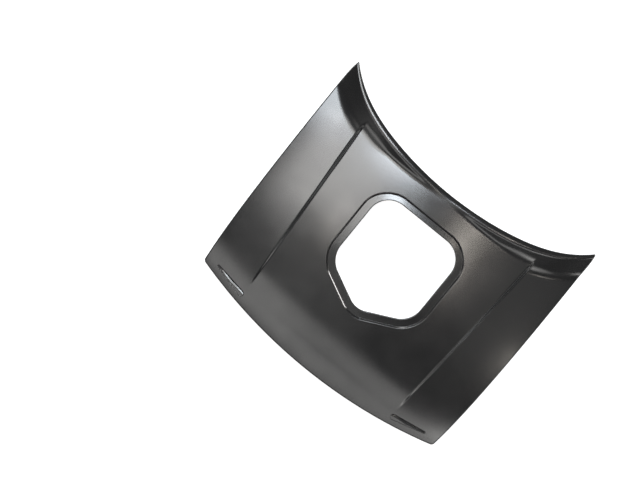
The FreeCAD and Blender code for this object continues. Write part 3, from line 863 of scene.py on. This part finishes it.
def bump(tree, shader, source, strength, distance):
    node = tree.nodes.new("ShaderNodeBump")
    node.inputs["Strength"].default_value = strength
    node.inputs["Distance"].default_value = distance
    tree.links.new(source, node.inputs["Height"])
    tree.links.new(node.outputs["Normal"], shader.inputs["Normal"])


def dip_coat(name, low, high, rough_low, rough_high):
    material, tree, shader = principled(name, low, rough_low)
    shader.inputs["IOR"].default_value = 1.6
    mottled(tree, shader, noise(tree, scale=5.0, detail=4.0, rough=0.6), low, high)
    smeared(tree, shader, noise(tree, scale=9.0, detail=1.0), rough_low, rough_high)
    bump(tree, shader, noise(tree, scale=420.0, detail=2.0), strength=0.01, distance=0.00003)
    return material


def zinc(name):
    low, high = (0.36, 0.35, 0.31), (0.5, 0.49, 0.46)
    material, tree, shader = principled(name, low, roughness=0.4, metallic=1.0)
    mottled(tree, shader, noise(tree, scale=90.0, detail=4.0), low, high)
    smeared(tree, shader, noise(tree, scale=300.0), 0.32, 0.5)
    bump(tree, shader, noise(tree, scale=900.0), strength=0.15, distance=0.0002)
    return material


def putty(name):
    low, high = (0.05, 0.05, 0.05), (0.11, 0.11, 0.105)
    material, tree, shader = principled(name, low, roughness=0.8)
    mottled(tree, shader, noise(tree, scale=160.0, detail=5.0), low, high)
    bump(tree, shader, noise(tree, scale=260.0, detail=5.0), strength=0.5, distance=0.0008)
    return material


COAT = dip_coat("dip_coat_panel", (0.009, 0.009, 0.0093), (0.011, 0.011, 0.0113), 0.16, 0.2)
COAT_PLATE = dip_coat("dip_coat_plate", (0.02, 0.02, 0.021), (0.026, 0.026, 0.027), 0.3, 0.4)
ZINC = zinc("dull_plating")
PUTTY = putty("mastic")

skin = bpy.data.objects.new("skin_panel", skin_mesh())
bpy.context.scene.collection.objects.link(skin)
skin.data.materials.append(COAT)
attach(skin, "root")
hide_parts("outer_skin")

for name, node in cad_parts.items():
    if name == "outer_skin":
        continue
    if "nut" in name:
        material = ZINC
    elif "mastic" in name:
        material = PUTTY
    elif "plate" in name:
        material = COAT_PLATE
    else:
        material = COAT
    node.data.materials.clear()
    node.data.materials.append(material)


# Stage, in metres

FLOOR_HALF = 60.0
FLOOR_DROP = 0.0005
FLOOR_GLOW = 0.75
WORLD_GLOW = 0.13
LEVEL = 0.085
LIGHT_REACH = 9.0
WHITE = (1.0, 0.985, 0.96)
PALE = (1.0, 0.99, 0.97)
COOL = (0.86, 0.93, 1.0)
WARM = (1.0, 0.93, 0.84)

# Soft boxes: span of their unit direction across and along the car, radiance, tint
LIGHTS = (
    ("main_box", (-0.36, -0.07), (-0.03, 0.185), 7.1, WHITE),
    ("main_top", (-0.36, -0.2), (0.185, 0.26), 6.5, WHITE),
    ("low_streak", (-0.16, -0.07), (-0.055, 0.0), 6.0, WARM),
    ("middle_fill", (-0.07, 0.07), (-0.05, 0.24), 0.6, WHITE),
    ("window", (-0.5, -0.27), (0.17, 0.38), 13.0, COOL),
    ("corner_glint", (-0.2, -0.02), (0.205, 0.3), 34.0, COOL),
    ("rear_strip", (-0.4, -0.06), (0.34, 0.48), 9.0, WHITE),
    ("warm_strip", (0.158, 0.205), (0.1, 0.26), 15.0, WARM),
    ("warm_middle", (0.18, 0.225), (0.02, 0.1), 12.0, WARM),
    ("warm_foot", (0.17, 0.21), (-0.03, 0.02), 4.0, WARM),
    ("band_left", (0.36, 0.56), (0.76, 0.96), 21.0, WHITE),
    ("band_right", (-0.66, -0.46), (0.66, 0.86), 7.0, WHITE),
    ("front_box", (-0.5, 0.8), (-0.51, -0.318), 2.3, PALE),
    ("front_left", (-0.5, -0.05), (-0.44, -0.28), 0.5, WHITE),
    ("foot_lamp", (0.46, 0.58), (-0.4, -0.24), 3.0, WHITE),
    ("low_fill", (-0.36, 0.08), (-0.29, -0.07), 0.38, WHITE),
    ("right_fill", (0.27, 0.52), (-0.05, 0.25), 0.35, WHITE),
    ("kick_fill", (-0.95, -0.2), (-0.74, -0.53), 0.7, WHITE),
    ("right_spot", (0.47, 0.53), (-0.015, 0.035), 8.0, WARM),
    ("right_box", (0.8, 0.98), (-0.28, 0.0), 4.5, WHITE),
    ("left_box", (-0.97, -0.84), (-0.26, -0.1), 3.0, WHITE),
)


def floor_plane():
    # Pale floor that keeps the shadow and glows for rays that only look at it.
    size = FLOOR_HALF
    mesh = bpy.data.meshes.new("floor")
    mesh.from_pydata([(-size, -size, 0), (size, -size, 0), (size, size, 0), (-size, size, 0)],
                     [], [(0, 1, 2, 3)])
    floor = bpy.data.objects.new("floor", mesh)
    bpy.context.scene.collection.objects.link(floor)
    floor.location.z = -FLOOR_DROP
    material, tree, shader = principled("floor", (0.8, 0.8, 0.8), roughness=1.0, specular=0.0)
    path = tree.nodes.new("ShaderNodeLightPath")
    seen = path.outputs["Is Camera Ray"]
    for ray in ("Is Glossy Ray", "Is Transmission Ray"):
        either = tree.nodes.new("ShaderNodeMath")
        either.operation = "MAXIMUM"
        tree.links.new(seen, either.inputs[0])
        tree.links.new(path.outputs[ray], either.inputs[1])
        seen = either.outputs["Value"]
    glow = tree.nodes.new("ShaderNodeEmission")
    glow.inputs["Color"].default_value = (1, 1, 1, 1)
    tree.links.new(spread_between(tree, seen, 0.0, FLOOR_GLOW, 0, 1), glow.inputs["Strength"])
    both = tree.nodes.new("ShaderNodeAddShader")
    tree.links.new(shader.outputs["BSDF"], both.inputs[0])
    tree.links.new(glow.outputs["Emission"], both.inputs[1])
    tree.links.new(both.outputs["Shader"], tree.nodes["Material Output"].inputs["Surface"])
    floor.data.materials.append(material)


def sky_light(name, across, along, strength, color):
    # Soft box that faces the panel from one direction above it.
    x = (across[0] + across[1]) / 2
    y = (along[0] + along[1]) / 2
    z = math.sqrt(1 - x * x - y * y)
    light = bpy.data.lights.new(name, "AREA")
    light.shape = "RECTANGLE"
    light.size = LIGHT_REACH * (across[1] - across[0])
    light.size_y = LIGHT_REACH * (along[1] - along[0])
    light.energy = strength * math.pi * light.size * light.size_y
    light.color = color
    holder = bpy.data.objects.new(name, light)
    bpy.context.scene.collection.objects.link(holder)
    back = Vector((x, y, z))
    side = Vector((0, 1, 0)).cross(back).normalized()
    turn = Matrix((side, back.cross(side), back)).transposed()
    holder.rotation_euler = turn.to_euler()
    holder.location = back * LIGHT_REACH + Vector((0, 0, LEVEL))
    holder.visible_camera = False


floor_plane()
for light in LIGHTS:
    sky_light(*light)

world = bpy.data.worlds.new("studio")
bpy.context.scene.world = world
world.use_nodes = True
shade = world.node_tree.nodes["Background"]
shade.inputs["Color"].default_value = (1, 1, 1, 1)
shade.inputs["Strength"].default_value = WORLD_GLOW


# Camera high above the panel, turned as in the photograph

PICTURE_WIDTH = 640
PICTURE_HEIGHT = 480
PICTURE_PLACE = (391.66, 264.22)
MM_PER_PIXEL = 4.75
CAMERA_UP = 7.0
SENSOR_WIDTH = 36.0
ROLL = math.radians(39.093)
TILTS = (math.radians(-1.523), math.radians(0.065))

camera_data = bpy.data.cameras.new("camera")
camera = bpy.data.objects.new("camera", camera_data)
bpy.context.scene.collection.objects.link(camera)
bpy.context.scene.camera = camera
camera_data.sensor_width = SENSOR_WIDTH
camera_data.lens = SENSOR_WIDTH * CAMERA_UP * 1000 / (PICTURE_WIDTH * MM_PER_PIXEL)
camera_data.clip_end = 100.0
turn = (Matrix.Rotation(ROLL, 3, "Z") @ Matrix.Rotation(TILTS[0], 3, "X")
        @ Matrix.Rotation(TILTS[1], 3, "Y"))
camera.rotation_euler = turn.to_euler()
right = (PICTURE_PLACE[0] - PICTURE_WIDTH / 2) * MM_PER_PIXEL / 1000
up = (PICTURE_HEIGHT / 2 - PICTURE_PLACE[1]) * MM_PER_PIXEL / 1000
camera.location = Vector((0, 0, LEVEL)) - turn @ Vector((right, up, -CAMERA_UP))

scene = bpy.context.scene
scene.view_settings.view_transform = "Standard"
